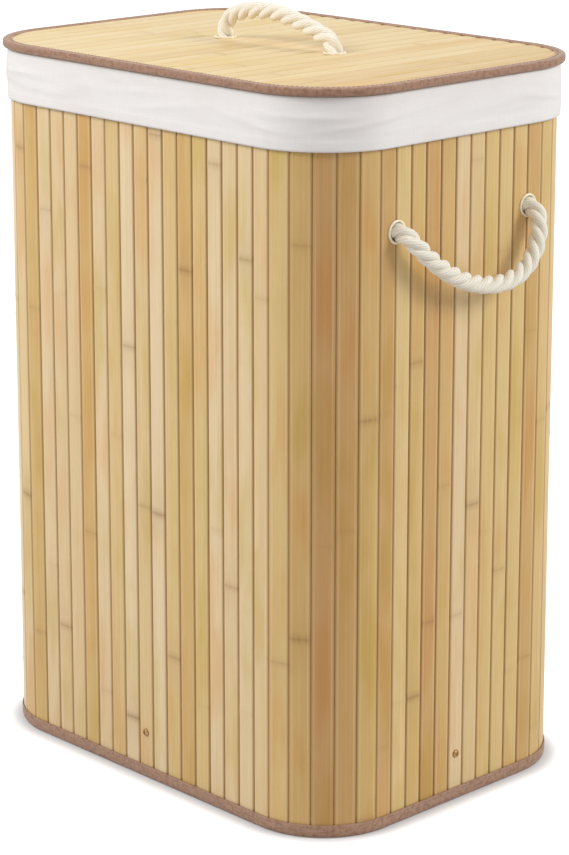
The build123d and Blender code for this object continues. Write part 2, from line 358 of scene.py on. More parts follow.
def bamboo_finish(name, tones, edge_colour, edge_share, drift_colours, mark_colour):
    """Varnished bamboo: a tone for each slat, drifting along it, browner at its stem joints and,
    partly as painted shade, at its edges, with a painted highlight just inside them.
    """
    finish, tree, shader = start_finish(name)
    fibre = place_group(tree, fibre_group, {"Grain": named_layer(tree, "grain", "Vector")})
    colour = colour_steps(tree, named_layer(tree, "tone", "Fac"), tones)
    for drift_colour, drift_end in zip(drift_colours, drift_ends):
        share = scale_to(tree, fibre["Drift"], drift_middle, drift_end, 0.0, drift_share)
        colour = blend_colour(tree, share, colour, drift_colour, "MULTIPLY")
    streak_shade = scale_to(tree, fibre["Streak"], *streak_range, *streak_shades)
    shade = add_node(tree, "ShaderNodeCombineColor", {0: streak_shade, 1: streak_shade, 2: streak_shade})
    colour = blend_colour(tree, 1.0, colour, shade.outputs[0], "MULTIPLY")
    flecks = calculate(tree, "MULTIPLY", fibre["Fleck"], fleck_share)
    colour = blend_colour(tree, flecks, colour, mark_colour)
    distance = named_layer(tree, "stem_distance", "Fac")
    strength = named_layer(tree, "stem_strength", "Fac")
    for reach, share in stem_marks:
        near = scale_to(tree, distance, 0.0, reach, share, 0.0)
        breaks = scale_to(tree, fibre["Streak"], *stem_mark_streaks, *stem_mark_breaks)
        broken = calculate(tree, "MULTIPLY", near, breaks)
        colour = blend_colour(tree, calculate(tree, "MULTIPLY", broken, strength), colour, mark_colour)
    edge = named_layer(tree, "edge", "Fac")
    # Painted highlight along the rounded edges of each slat.
    painted_highlight = scale_to(tree, edge, *bevel_band, 0.0, bevel_share)
    painted_highlight = calculate(tree, "MULTIPLY", painted_highlight, fibre["Drift"])
    colour = blend_colour(tree, painted_highlight, colour, tones[0][1])
    # Browner band at each edge: partly the bamboo's own edge colour, partly painted shade of the gap between
    # slats.
    colour = blend_colour(tree, scale_to(tree, edge, *edge_band, 0.0, edge_share), colour, edge_colour)
    tree.links.new(colour, shader.inputs["Base Color"])
    roughness = scale_to(tree, fibre["Streak"], *streak_range, *varnish_roughness)
    tree.links.new(roughness, shader.inputs["Roughness"])
    shader.inputs["Specular IOR Level"].default_value = varnish_shine
    raise_surface(tree, shader, fibre["Streak"], fibre_relief)
    return finish


wall_bamboo = bamboo_finish(
    "wall_bamboo",
    tones=[
        (0.0, srgb(232, 210, 171)),
        (0.3, srgb(226, 198, 154)),
        (0.55, srgb(217, 186, 122)),
        (0.75, srgb(206, 167, 106)),
        (1.0, srgb(190, 143, 92)),
    ],
    edge_colour=srgb(160, 114, 36),
    edge_share=0.5,
    drift_colours=(srgb(250, 233, 214), srgb(240, 237, 200)),
    mark_colour=srgb(146, 98, 48),
)

side_turns = {"right": 0, "back": 90, "left": 180, "front": 270}
narrow_sides = ("left", "right")
corner_turns = {"back_right": 0, "back_left": 90, "front_left": 180, "front_right": 270}
corner_turn = 90 / (slats_corner + 1)
corner_flat = 2 * corner_radius * math.tan(math.radians(corner_turn / 2))
board_low, board_high = (corner.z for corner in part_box("base_board"))
board_middle = (board_low + board_high) / 2
screw_hole_radius = 0.0018
eyelet_hole_radius = 0.0083
eyelet_low, eyelet_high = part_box("right_eyelets")
eyelet_height = (eyelet_low.z + eyelet_high.z) / 2
eyelet_radius = (eyelet_high.z - eyelet_low.z) / 2
eyelet_spread = eyelet_high.y - eyelet_radius


def on_side(side, along, height, outwards=0.0):
    """Place on the outer face of a side: X points outwards, Y runs along the side and Z is up."""
    distance = half_width if side in narrow_sides else half_depth
    turn = Matrix.Rotation(math.radians(side_turns[side]), 4, "Z")
    return turn @ Matrix.Translation((distance + outwards, along, height))


def on_corner(corner, joint):
    """Place on the flat of one corner slat."""
    turn = corner_turns[corner] + corner_turn * (joint + 1)
    side_x = 1 if "right" in corner else -1
    side_y = 1 if "back" in corner else -1
    centre = (side_x * (half_width - corner_radius), side_y * (half_depth - corner_radius), mat_bottom)
    turned = Matrix.Rotation(math.radians(turn), 4, "Z")
    return Matrix.Translation(centre) @ turned @ Matrix.Translation((corner_radius, 0, 0))


facing_out = Matrix.Rotation(math.radians(90), 4, "Y")
screw_places = {side: on_side(side, 0, board_middle) @ facing_out for side in side_turns}
eyelet_places = {
    side: [on_side(side, along, eyelet_height) @ facing_out for along in (-eyelet_spread, eyelet_spread)]
    for side in narrow_sides
}


def wall_holes(side):
    """Screw hole and, on the narrow sides, the two eyelet holes of one side."""
    holes = [(screw_places[side], screw_hole_radius)]
    return holes + [(place, eyelet_hole_radius) for place in eyelet_places.get(side, [])]


def whole_height(across):
    """Wall slats run the full height of the mat."""
    return 0.0, mat_top - mat_bottom


def slat_tone(chance, usual, spread, darkest):
    """Tone of one slat near the usual one, from 0 for the palest bamboo."""
    return min(max(chance.gauss(usual, spread), 0.0), darkest)


hole_reach = 0.012
# Each side's usual tone is partly painted light and shade: palest on the front and darkest on the right, as
# those faces are lit. The slats' own tones also differ at random round it.
side_tones = {"right": 0.56, "back": 0.4, "left": 0.4, "front": 0.32}
side_tone_spread = 0.15
side_tone_limit = 0.85
for side in side_turns:
    chance = random.Random(f"{side} slats")
    narrow = side in narrow_sides
    count = slats_narrow if narrow else slats_wide
    straight = 2 * ((half_depth if narrow else half_width) - corner_radius) + corner_flat
    form = start_slats()
    for number in range(count):
        along = (number - (count - 1) / 2) * straight / count
        width = straight / count - slat_gap + chance.uniform(-slat_width_spread, slat_width_spread)
        tone = slat_tone(chance, side_tones[side], side_tone_spread, side_tone_limit)
        place = on_side(side, along, mat_bottom)
        add_slat(form, place, width, slat_thickness, whole_height, tone, chance)
    piece = new_piece(finish_mesh(f"{side}_slats_bamboo", form), wall_bamboo, [f"{side}_slats"])
    cut_away(piece, round_cutters(wall_holes(side), hole_reach))
    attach(piece, "basket")

corner_tone = 0.38
corner_tone_spread = 0.17
corner_tone_limit = 0.8
# Painted shade: the front right corner's slats get fixed darker tones, darkest in its middle, where that
# corner is lit less than the sides.
shaded_corner_tones = {"front_right": (0.5, 0.7, 0.9, 0.85, 0.68)}
for corner in corner_turns:
    chance = random.Random(f"{corner} slats")
    form = start_slats()
    for number in range(slats_corner):
        width = corner_flat - slat_gap + chance.uniform(-slat_width_spread, slat_width_spread)
        tone = slat_tone(chance, corner_tone, corner_tone_spread, corner_tone_limit)
        if corner in shaded_corner_tones:
            tone = shaded_corner_tones[corner][number]
        add_slat(form, on_corner(corner, number), width, slat_thickness, whole_height, tone, chance)
    mesh = finish_mesh(f"{corner}_corner_bamboo", form)
    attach(new_piece(mesh, wall_bamboo, [f"{corner}_corner_slats"]), "basket")


# Backing cloth. A plain woven cloth glued over the backs of all the slats, which holds them
# side by side and lets the mat bend round the corners. It shows dark in the gaps.
backing_thickness = 0.0007
backing_glue = 0.00005
corner_steps = 18
straight_step = 0.012


def walk_round(half_x, half_y, radius):
    """Points round a rectangle with round corners, from the middle of the back and back to it.

    Each is (x, y, outward x, outward y, way walked)."""
    walk = []
    for quarter in range(4):
        side_x = 1 if quarter in (0, 3) else -1
        side_y = 1 if quarter in (0, 1) else -1
        centre = Vector((side_x * (half_x - radius), side_y * (half_y - radius)))
        for step in range(corner_steps + 1):
            angle = math.radians(90 * (quarter + step / corner_steps))
            out = Vector((math.cos(angle), math.sin(angle)))
            walk.append((centre + out * radius, out))
        straight = 2 * ((half_x if quarter in (0, 2) else half_y) - radius)
        count = max(1, round(straight / straight_step))
        along = Vector((-out.y, out.x))
        end = walk[-1][0]
        walk += [(end + along * straight * step / count, out) for step in range(1, count)]
    back = Vector((0, half_y))
    first = min(range(len(walk)), key=lambda number: (walk[number][0] - back).length)
    walk = walk[first:] + walk[:first + 1]
    way = 0.0
    before = walk[0][0]
    steps = []
    for point, out in walk:
        way += (point - before).length
        before = point
        steps.append((point.x, point.y, out.x, out.y, way))
    return steps


def sweep_round(walk, section, closed=True, shape=None):
    """Carry a section of (offset outwards, height) points round a walk. shape may move each point."""
    form = bmesh.new()
    cloth = form.loops.layers.float_vector.new("cloth")
    lengths = [0.0]
    for before, after in zip(section, section[1:] + section[:1]):
        lengths.append(lengths[-1] + math.dist(before, after))
    rings = []
    for x, y, out_x, out_y, way in walk[:-1]:
        ring = []
        for (offset, height), across in zip(section, lengths):
            point = Vector((x + out_x * offset, y + out_y * offset, height))
            if shape:
                point = shape(point, Vector((out_x, out_y, 0)), way, across)
            ring.append(form.verts.new(point))
        rings.append(ring)
    last = len(section) if closed else len(section) - 1
    for number, (here, after) in enumerate(zip(rings, rings[1:] + rings[:1])):
        start, end = walk[number][4], walk[number + 1][4]
        for place in range(last):
            up = (place + 1) % len(section)
            low, high = lengths[place], lengths[place + 1]
            face = form.faces.new((here[place], after[place], after[up], here[up]))
            corners = ((start, low, 0), (end, low, 0), (end, high, 0), (start, high, 0))
            for loop, corner in zip(face.loops, corners):
                loop[cloth] = corner
    return form


# Plain weave, shared by the backing, the tape, the liner and the lid's lining: threads over and
# under one another, with slubs that thicken some of them.
long_slubs = (60, 2400, 1)
cross_slubs = (2400, 60, 1)
weave_group, weave_in, weave_out = start_group(
    "plain_weave",
    [("Cloth", "NodeSocketVector"), ("Threads per metre", "NodeSocketFloat")],
    [("Height", "NodeSocketFloat"), ("Slub", "NodeSocketFloat")],
)
parts = add_node(weave_group, "ShaderNodeSeparateXYZ", {0: weave_in["Cloth"]}).outputs
turns = calculate(weave_group, "MULTIPLY", weave_in["Threads per metre"], math.pi)
warp = calculate(weave_group, "SINE", calculate(weave_group, "MULTIPLY", parts[0], turns))
weft = calculate(weave_group, "SINE", calculate(weave_group, "MULTIPLY", parts[1], turns))
crossing = calculate(weave_group, "MULTIPLY", warp, weft)
weave_group.links.new(calculate(weave_group, "MULTIPLY_ADD", crossing, 0.5, 0.5), weave_out["Height"])
slub = calculate(weave_group, "MULTIPLY", stretched_noise(weave_group, weave_in["Cloth"], cross_slubs), 0.5)
along_slub = stretched_noise(weave_group, weave_in["Cloth"], long_slubs)
slub = calculate(weave_group, "MULTIPLY_ADD", along_slub, 0.5, slub)
weave_group.links.new(slub, weave_out["Slub"])

slub_range = (0.35, 0.65)
hollow_range = (0.0, 0.6)
hollow_shares = (0.2, 0.0)
cloud_range = (0.4, 0.7)
shade_band_share = 0.3
cotton_shine = 0.25
weave_strength = 0.6


def cloth_finish(
    name, light, dark, threads, relief, roughness, sheen, shade_band=None, clouds=(14, 36, 1), cloud_share=0.22
):
    """Woven cotton: colour between two shades by its slubs, with painted shade in the hollows between
    threads.

    The optional pair of places across the cloth bounds the band where painted shade darkens it, towards
    a tape's fold and lower band. clouds gives how finely it is mottled along and across; on the liner
    this mottling is also painted shade, standing in for the shading of its wrinkles."""
    finish, tree, shader = start_finish(name)
    place_on_cloth = named_layer(tree, "cloth", "Vector")
    weave = place_group(tree, weave_group, {"Cloth": place_on_cloth, "Threads per metre": threads})
    colour = blend_colour(tree, scale_to(tree, weave["Slub"], *slub_range, 0.0, 1.0), light, dark)
    # Painted shade: darker in the hollows between the threads.
    hollow = scale_to(tree, weave["Height"], *hollow_range, *hollow_shares)
    colour = blend_colour(tree, hollow, colour, dark, "MULTIPLY")
    # Soft darker clouds: the cloth's mottled texture, and on the liner also painted shade that stands in for
    # the shading of its wrinkles.
    cloudy = stretched_noise(tree, place_on_cloth, clouds)
    cloudy = scale_to(tree, cloudy, *cloud_range, 0.0, cloud_share)
    colour = blend_colour(tree, cloudy, colour, dark, "MULTIPLY")
    # Painted shade: darker towards the tape's fold and lower band.
    if shade_band:
        across = add_node(tree, "ShaderNodeSeparateXYZ", {0: place_on_cloth}).outputs[1]
        painted_fold_shade = scale_to(tree, across, *shade_band, 0.0, shade_band_share)
        colour = blend_colour(tree, painted_fold_shade, colour, dark, "MULTIPLY")
    tree.links.new(colour, shader.inputs["Base Color"])
    shader.inputs["Roughness"].default_value = roughness
    shader.inputs["Sheen Weight"].default_value = sheen
    shader.inputs["Specular IOR Level"].default_value = cotton_shine
    raise_surface(tree, shader, weave["Height"], relief, weave_strength)
    return finish


backing_cloth = cloth_finish(
    "backing_cloth", srgb(220, 178, 100), srgb(202, 158, 82),
    threads=1300, relief=0.0002, roughness=0.9, sheen=0.1,
)
mat_walk = walk_round(half_width, half_depth, corner_radius)
backing_out = -slat_thickness - backing_glue
backing_in = backing_out - backing_thickness
backing_section = [
    (backing_out, mat_bottom),
    (backing_out, mat_top),
    (backing_in, mat_top),
    (backing_in, mat_bottom),
]
backing = new_piece(
    finish_mesh("backing_cloth", sweep_round(mat_walk, backing_section)), backing_cloth,
    ["wall_backing"],
)
every_hole = [hole for side in side_turns for hole in wall_holes(side)]
cut_away(backing, round_cutters(every_hole, hole_reach))
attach(backing, "basket")
mat_round = mat_walk[-1][4]


# Base board and its screws. A fibreboard panel lies inside the wall near the floor, held by one
# plated round-head screw through the middle of each side.
board_chips = (420, 420, 420)
board_clouds = (18, 18, 18)
board_cloud_share = 0.4
board_roughness = (0.85, 0.65)
board_relief = 0.0002
spot_mix = (0.35, 0.65)
spot_range = (0.3, 0.7)
board_finish, tree, shader = start_finish("fibreboard")
place_in_board = add_node(tree, "ShaderNodeTexCoord").outputs["Object"]
chips = stretched_noise(tree, place_in_board, board_chips, detail=4, roughness=0.7)
cloudy = stretched_noise(tree, place_in_board, board_clouds)
colour = scale_to(tree, chips, *spot_mix, 0.0, 1.0)
colour = blend_colour(tree, colour, srgb(142, 108, 72), srgb(176, 142, 100))
cloudy = scale_to(tree, cloudy, *spot_range, 0.0, board_cloud_share)
colour = blend_colour(tree, cloudy, colour, srgb(226, 208, 180), "MULTIPLY")
tree.links.new(colour, shader.inputs["Base Color"])
tree.links.new(scale_to(tree, chips, *spot_range, *board_roughness), shader.inputs["Roughness"])
raise_surface(tree, shader, chips, board_relief)


def refinish(node, finish):
    """Give a solid that stays in view its finish."""
    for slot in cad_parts[node].material_slots:
        slot.material = finish


refinish("base_board", board_finish)

screw_head_radius = 0.00325
screw_head_height = 0.0018
screw_head_rim = 0.35
screw_shank_radius = 0.0016
screw_length = 0.020
screw_tip = 0.0003
screw_segments = 24
screw_crease = 35
cross_reach = 0.0019
cross_half_width = 0.0004
cross_depth = 0.0008
cross_arm = (
    (cross_reach, -cross_half_width),
    (cross_reach, cross_half_width),
    (cross_half_width, cross_half_width),
)
dome_steps = 7


def turned(form, profile, place, segments=48, ring=True):
    """Turn a profile of (radius, height) points about the Z of a place, as a ring or with capped ends."""
    rings = []
    for radius, height in profile:
        circle = []
        for segment in range(segments):
            angle = 2 * math.pi * segment / segments
            point = Vector((radius * math.cos(angle), radius * math.sin(angle), height))
            circle.append(form.verts.new(place @ point))
        rings.append(circle)
    join_rings(form, rings + rings[:1] if ring else rings, capped=not ring)


steel_stains = (900, 900, 900)
steel_roughness = (0.28, 0.5)
steel_relief = 0.00005
screw_steel, tree, shader = start_finish("plated_steel")
place_on_screw = add_node(tree, "ShaderNodeTexCoord").outputs["Object"]
stain = stretched_noise(tree, place_on_screw, steel_stains, detail=3)
colour = scale_to(tree, stain, *spot_mix, 0.0, 1.0)
colour = blend_colour(tree, colour, srgb(186, 150, 98), srgb(140, 104, 62))
tree.links.new(colour, shader.inputs["Base Color"])
tree.links.new(scale_to(tree, stain, *spot_range, *steel_roughness), shader.inputs["Roughness"])
shader.inputs["Metallic"].default_value = 0.7
raise_surface(tree, shader, stain, steel_relief)

form = bmesh.new()
cross = bmesh.new()
screw_profile = [
    (screw_tip, -screw_length),
    (screw_shank_radius, -screw_length + 2 * screw_shank_radius),
    (screw_shank_radius, 0.0),
    (screw_head_radius, 0.0),
]
for step in range(dome_steps + 1):
    angle = math.radians(90 * step / dome_steps)
    rise = screw_head_height * (screw_head_rim + (1 - screw_head_rim) * math.sin(angle))
    screw_profile.append((max(screw_head_radius * math.cos(angle), screw_tip), rise))
for place in screw_places.values():
    turned(form, screw_profile, place, segments=screw_segments, ring=False)
    rings = []
    for height in (screw_head_height - cross_depth, screw_head_height + cross_depth):
        ring = []
        for quarter in range(4):
            arm = place @ Matrix.Rotation(math.radians(90 * quarter), 4, "Z")
            for reach, aside in cross_arm:
                ring.append(cross.verts.new(arm @ Vector((reach, aside, height))))
        rings.append(ring)
    join_rings(cross, rings)
mesh = finish_mesh("base_screws_steel", form, screw_crease)
screws = new_piece(mesh, screw_steel, ["base_screws"])
cut_away(screws, finish_mesh("cross_cutters", cross))
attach(screws, "basket")


# Edging tape. A brown cotton tape folded over the mat's bottom and top edges and sewn through
# close to its edge. It bridges the small steps between the corner slats.
tape_stand_off = 0.0005
tape_inner_stand_off = 0.0009
tape_thickness = 0.0008
tape_crown = 0.0035
tape_belly = 0.0001
tape_fold_steps = 6
tape_crease = 50
tape_stitch_inset = 0.0022
stitch_spacing = 0.0042
stitch_length = 0.0029
stitch_radius = 0.00026
stitch_steps = 6
stitch_corners = 6
stitch_rise = 1.1
stitch_sunk = 0.7
stitch_end = 0.45
stitch_crease = 60

# The tape darkens from 1 mm to 12 mm across, towards its fold and lower band: painted shade.
edging_tape = cloth_finish(
    "edging_tape", srgb(192, 156, 131), srgb(172, 137, 116),
    threads=900, relief=0.00025, roughness=0.82, sheen=0.25,
    shade_band=(0.001, 0.012), clouds=(240, 300, 1), cloud_share=0.45,
)
tape_thread = cloth_finish(
    "tape_thread", srgb(174, 137, 113), srgb(154, 118, 98),
    threads=2600, relief=0.0001, roughness=0.7, sheen=0.1,
)


def folded_tape(outer, inner, free, folded):
    """Section of a tape folded over an edge: outside face, round fold, inside face and back."""
    middle = (outer + inner) / 2
    half = (outer - inner) / 2
    turn_up = 1 if folded < free else -1
    angles = [math.radians(180 * step / tape_fold_steps) for step in range(tape_fold_steps + 1)]
    points = [(outer, free), (outer + tape_belly, (free + folded) / 2)]
    for angle in angles:
        lift = tape_crown * (1 - math.sin(angle))
        points.append((middle + half * math.cos(angle), folded + turn_up * lift))
    points += [(inner, free), (inner + tape_thickness, free)]
    for angle in reversed(angles):
        lift = tape_crown * (1 - math.sin(angle)) + tape_thickness
        points.append((middle + (half - tape_thickness) * math.cos(angle), folded + turn_up * lift))
    points.append((outer - tape_thickness, free))
    return points


def stitch_row(walk, offset, height, flat_out=False):
    """Row of short stitches round a walk, sunk at both ends."""
    form = bmesh.new()
    cloth = form.verts.layers.float_vector.new("cloth")
    whole = walk[-1][4]
    count = int(whole / stitch_spacing)
    place = 0
    for number in range(count):
        target = whole * (number + 0.5) / count
        while walk[place + 1][4] < target:
            place += 1
        x, y, out_x, out_y, way = walk[place]
        next_x, next_y, next_out_x, next_out_y, next_way = walk[place + 1]
        share = (target - way) / (next_way - way)
        out = Vector((out_x, out_y, 0)).lerp(Vector((next_out_x, next_out_y, 0)), share).normalized()
        middle = Vector((x, y, height)).lerp(Vector((next_x, next_y, height)), share) + out * offset
        along = Vector((-out.y, out.x, 0))
        rise = Vector((0, 0, 1)) if flat_out else out
        side = along.cross(rise)
        rings = []
        for step in range(stitch_steps + 1):
            angle = math.radians(180 * step / stitch_steps)
            centre = middle - along * stitch_length / 2 * math.cos(angle)
            centre += rise * stitch_radius * (stitch_rise * math.sin(angle) - stitch_sunk)
            thick = stitch_radius * (stitch_end + (1 - stitch_end) * math.sin(angle))
            ring = []
            for corner in range(stitch_corners):
                turn = 2 * math.pi * corner / stitch_corners
                vert = form.verts.new(centre + (rise * math.sin(turn) + side * math.cos(turn)) * thick)
                vert[cloth] = (target + step * stitch_length / stitch_steps, corner * stitch_radius, 0)
                ring.append(vert)
            rings.append(ring)
        join_rings(form, rings)
    return form


tape_out = tape_stand_off + tape_thickness
tape_in = -slat_thickness - backing_thickness - tape_inner_stand_off
for edge in ("bottom", "top"):
    low, high = (corner.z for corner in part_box(f"{edge}_edging"))
    folded, free = (low, high) if edge == "bottom" else (high, low)
    section = folded_tape(tape_out, tape_in, free, folded)
    mesh = finish_mesh(f"{edge}_edging_tape", sweep_round(mat_walk, section), tape_crease)
    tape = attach(new_piece(mesh, edging_tape, [f"{edge}_edging"]), "basket")
    stitch_height = free - tape_stitch_inset if edge == "bottom" else free + tape_stitch_inset
    stitched = stitch_row(mat_walk, tape_out, stitch_height)
    mesh = finish_mesh(f"{edge}_edging_stitches", stitched, stitch_crease)
    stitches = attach(new_piece(mesh, tape_thread), "basket")


# Eyelets and washers. Pressed metal eyelets with a rolled flange, enamelled a warm cream, each
# locked by a flat washer on the inner side. The side ropes pass through them.
eyelet_bore = 0.0075
eyelet_barrel = 0.0081
flange_height = 0.0016
flange_rim = 0.4
flange_undercut = 0.0002
flange_steps = 8
washer_thickness = 0.0012
washer_broken_edge = 0.0003
ring_crease = 50
enamel_patches = (260, 260, 260)
enamel_mix = (0.35, 0.7)
enamel_roughness = (0.25, 0.42)
enamel_relief = 0.00008
enamel_relief_strength = 0.5
enamel, tree, shader = start_finish("white_enamel")
place_on_ring = add_node(tree, "ShaderNodeTexCoord").outputs["Object"]
patch = stretched_noise(tree, place_on_ring, enamel_patches, detail=3)
colour = scale_to(tree, patch, *enamel_mix, 0.0, 1.0)
# The warm cream is partly the enamel's own colour and partly painted reflection of the bamboo round it.
colour = blend_colour(tree, colour, srgb(250, 240, 215), srgb(232, 220, 190))
tree.links.new(colour, shader.inputs["Base Color"])
tree.links.new(scale_to(tree, patch, *spot_range, *enamel_roughness), shader.inputs["Roughness"])
raise_surface(tree, shader, patch, enamel_relief, enamel_relief_strength)


def eyelet_profile(panel):
    """Closed profile of an eyelet for a panel of that thickness: bore, rolled flange, barrel."""
    foot = -panel - washer_thickness
    lip = (eyelet_radius - eyelet_bore) / 2
    middle = eyelet_bore + lip
    profile = [(eyelet_bore, foot)]
    for step in range(flange_steps + 1):
        angle = math.radians(180 - 180 * step / flange_steps)
        height = flange_height * (flange_rim + (1 - flange_rim) * math.sin(angle))
        profile.append((middle + lip * math.cos(angle), height))
    profile += [(eyelet_radius - flange_undercut, 0.0), (eyelet_barrel, 0.0), (eyelet_barrel, foot)]
    return profile


def washer_profile(panel):
    """Closed profile of a washer with softly broken edges behind a panel of that thickness."""
    near, far = -panel, -panel - washer_thickness
    return [
        (eyelet_hole_radius, near),
        (eyelet_hole_radius, far),
        (eyelet_radius - washer_broken_edge, far),
        (eyelet_radius, far + washer_broken_edge),
        (eyelet_radius, near),
    ]


def eyelets_at(node, places, panel, body):
    """Eyelets and washers of one panel."""
    rings = bmesh.new()
    locks = bmesh.new()
    for place in places:
        turned(rings, eyelet_profile(panel), place)
        turned(locks, washer_profile(panel), place)
    mesh = finish_mesh(f"{node}_enamel", rings, ring_crease)
    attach(new_piece(mesh, enamel, [node]), body)
    washers = node.replace("eyelets", "eyelet_washers")
    mesh = finish_mesh(f"{washers}_enamel", locks, ring_crease)
    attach(new_piece(mesh, enamel, [washers]), body)


glued_backing = 0.0008
wall_panel = slat_thickness + glued_backing
for side, places in eyelet_places.items():
    eyelets_at(f"{side}_eyelets", places, wall_panel, "basket")


# Side rope handles. Three-strand twisted cotton rope, 14.5 mm thick, passed through both eyelets
# of a narrow side and knotted behind the wall. It hangs as a loop and swings up in its eyelets.
strand_radius = 0.0035
strand_offset = 0.00375
strand_corners = 27
strand_grain_shift = 0.1
rope_lay = 0.040
rope_step = 0.0012
rope_crease = 80
yarns_per_strand = 9
yarn_lay = 0.0105
yarn_relief = 0.035
yarn_hollows = (0.0, 0.5)
yarn_hollow_shares = (0.75, 0.0)
rope_fuzz = (700, 2600, 2600)
rope_fuzz_relief = 0.0004
rope_fuzz_strength = 0.7

cotton_rope, tree, shader = start_finish("twisted_cotton")
lay_place = named_layer(tree, "cloth", "Vector")
yarn = named_layer(tree, "yarn", "Fac")
fuzz = stretched_noise(tree, lay_place, rope_fuzz, detail=3, roughness=0.65)
cream = scale_to(tree, fuzz, *spot_range, 0.0, 1.0)
cream = blend_colour(tree, cream, srgb(246, 238, 219), srgb(252, 248, 238))
# Painted shade: the rope darkens in the hollows between its yarns.
hollow = scale_to(tree, yarn, *yarn_hollows, *yarn_hollow_shares)
cream = blend_colour(tree, hollow, cream, srgb(212, 196, 166))
tree.links.new(cream, shader.inputs["Base Color"])
shader.inputs["Roughness"].default_value = 0.92
shader.inputs["Sheen Weight"].default_value = 0.25
shader.inputs["Specular IOR Level"].default_value = 0.2
raise_surface(tree, shader, fuzz, rope_fuzz_relief, rope_fuzz_strength)


def smooth_line(route):
    """Points along the smooth curve that a route's points control."""
    curve = bpy.data.curves.new("route", "CURVE")
    curve.dimensions = "3D"
    curve.resolution_u = 32
    spline = curve.splines.new("NURBS")
    spline.points.add(len(route) - 1)
    for control, point in zip(spline.points, route):
        control.co = (*point, 1)
    spline.order_u = 3
    spline.use_endpoint_u = True
    holder = bpy.data.objects.new("route", curve)
    mesh = bpy.data.meshes.new_from_object(holder)
    line = [vert.co.copy() for vert in mesh.vertices]
    bpy.data.meshes.remove(mesh)
    bpy.data.objects.remove(holder)
    bpy.data.curves.remove(curve)
    return line


def ways_along(line):
    """Way from the start of a line to each of its points."""
    ways = [0.0]
    for before, after in zip(line, line[1:]):
        ways.append(ways[-1] + (after - before).length)
    return ways


def even_steps(line, step):
    """The same line with its points evenly spaced."""
    ways = ways_along(line)
    count = round(ways[-1] / step)
    points = []
    place = 0
    for number in range(count + 1):
        target = ways[-1] * number / count
        while place < len(line) - 2 and ways[place + 1] < target:
            place += 1
        share = (target - ways[place]) / (ways[place + 1] - ways[place])
        points.append(line[place].lerp(line[place + 1], share))
    return points


def directions(points):
    """Direction of a line at each of its points."""
    ends = [points[0]] + points + [points[-1]]
    return [(after - before).normalized() for before, after in zip(ends, ends[2:])]


def lay_strands(form, points, first_side, spread=None):
    """Twist three strands round a line. spread(share of the way) scales strand offset and thickness."""
    cloth = form.verts.layers.float_vector.get("cloth") or form.verts.layers.float_vector.new("cloth")
    yarn = form.verts.layers.float.get("yarn") or form.verts.layers.float.new("yarn")
    side = Vector(first_side)
    sides = []
    for heading in directions(points):
        side = (side - heading * side.dot(heading)).normalized()
        sides.append((side.copy(), heading.cross(side)))
    ways = ways_along(points)
    for strand in range(3):
        middles = []
        outs = []
        sizes = []
        for point, (one, other), way in zip(points, sides, ways):
            angle = 2 * math.pi * (strand / 3 - way / rope_lay)
            out = one * math.cos(angle) + other * math.sin(angle)
            wide, thick = spread(way / ways[-1]) if spread else (1.0, 1.0)
            middles.append(point + out * strand_offset * wide)
            outs.append(out)
            sizes.append(strand_radius * thick)
        rings = []
        for middle, out, heading, size, way in zip(middles, outs, directions(middles), sizes, ways):
            out = (out - heading * out.dot(heading)).normalized()
            across = heading.cross(out)
            yarn_turn = 2 * math.pi * way / yarn_lay
            ring = []
            for corner in range(strand_corners):
                turn = 2 * math.pi * corner / strand_corners
                wave = math.cos(yarns_per_strand * turn + yarn_turn)
                reach = size * (1 + yarn_relief * wave)
                vert = form.verts.new(middle + (out * math.cos(turn) + across * math.sin(turn)) * reach)
                grain = size * math.sin(turn) + strand * strand_grain_shift
                vert[cloth] = (way, size * math.cos(turn), grain)
                vert[yarn] = 0.5 + 0.5 * wave
                ring.append(vert)
            rings.append(ring)
        join_rings(form, rings)


def rope_along(node, place, route, first_side):
    """Rope along a route that is measured from a place: the piece and the line in its middle."""
    line = even_steps(smooth_line([place @ Vector(point) for point in route]), rope_step)
    form = bmesh.new()
    lay_strands(form, line, first_side)
    mesh = finish_mesh(f"{node}_cotton", form, rope_crease)
    return new_piece(mesh, cotton_rope, [node]), line


# Right handle at rest, from the eyelet nearest the front, measured outwards, along the wall and up
# from the line through the eyelets on which it swings. The first and last two points are the
# rope's way through the eyelets.
swing_out = 0.00915
eyelet_way_in = -0.0132
side_route = [
    (eyelet_way_in, -eyelet_spread, 0),
    (-0.001, -eyelet_spread, 0),
    (0.007, -0.069, -0.010),
    (0.009, -0.050, -0.027),
    (0.011, -0.026, -0.042),
    (0.011, 0.002, -0.051),
    (0.011, 0.029, -0.053),
    (0.010, 0.051, -0.047),
    (0.008, 0.067, -0.032),
    (0.005, 0.0745, -0.013),
    (-0.001, eyelet_spread, 0),
    (eyelet_way_in, eyelet_spread, 0),
]
swing_blend = 0.0095
for side in ("right", "left"):
    place = on_side(side, 0, eyelet_height, swing_out)
    handle, line = rope_along(f"{side}_rope", place, side_route, (0, 0, 1))
    flange_face = on_side(side, 0, eyelet_height, flange_height).translation
    swing_line = on_side(side, 0, eyelet_height, flange_height + swing_blend).translation
    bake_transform(handle, "basket", f"{side}_handle", start=flange_face, end=swing_line)


# Rope knots. Each rope end is opened into its strands, which are worked into a round wall knot
# that can't pass the washer, and drawn tight against it.
knot_length = 0.0195
knot_clearance = 0.0003
knot_rise = 0.16
knot_fall = 0.256
knot_neck = 0.75
knot_swell = 1.25
knot_neck_strand = 0.62
knot_strand = 1.22
knot_side = (0.3, 0.8, 0.5)


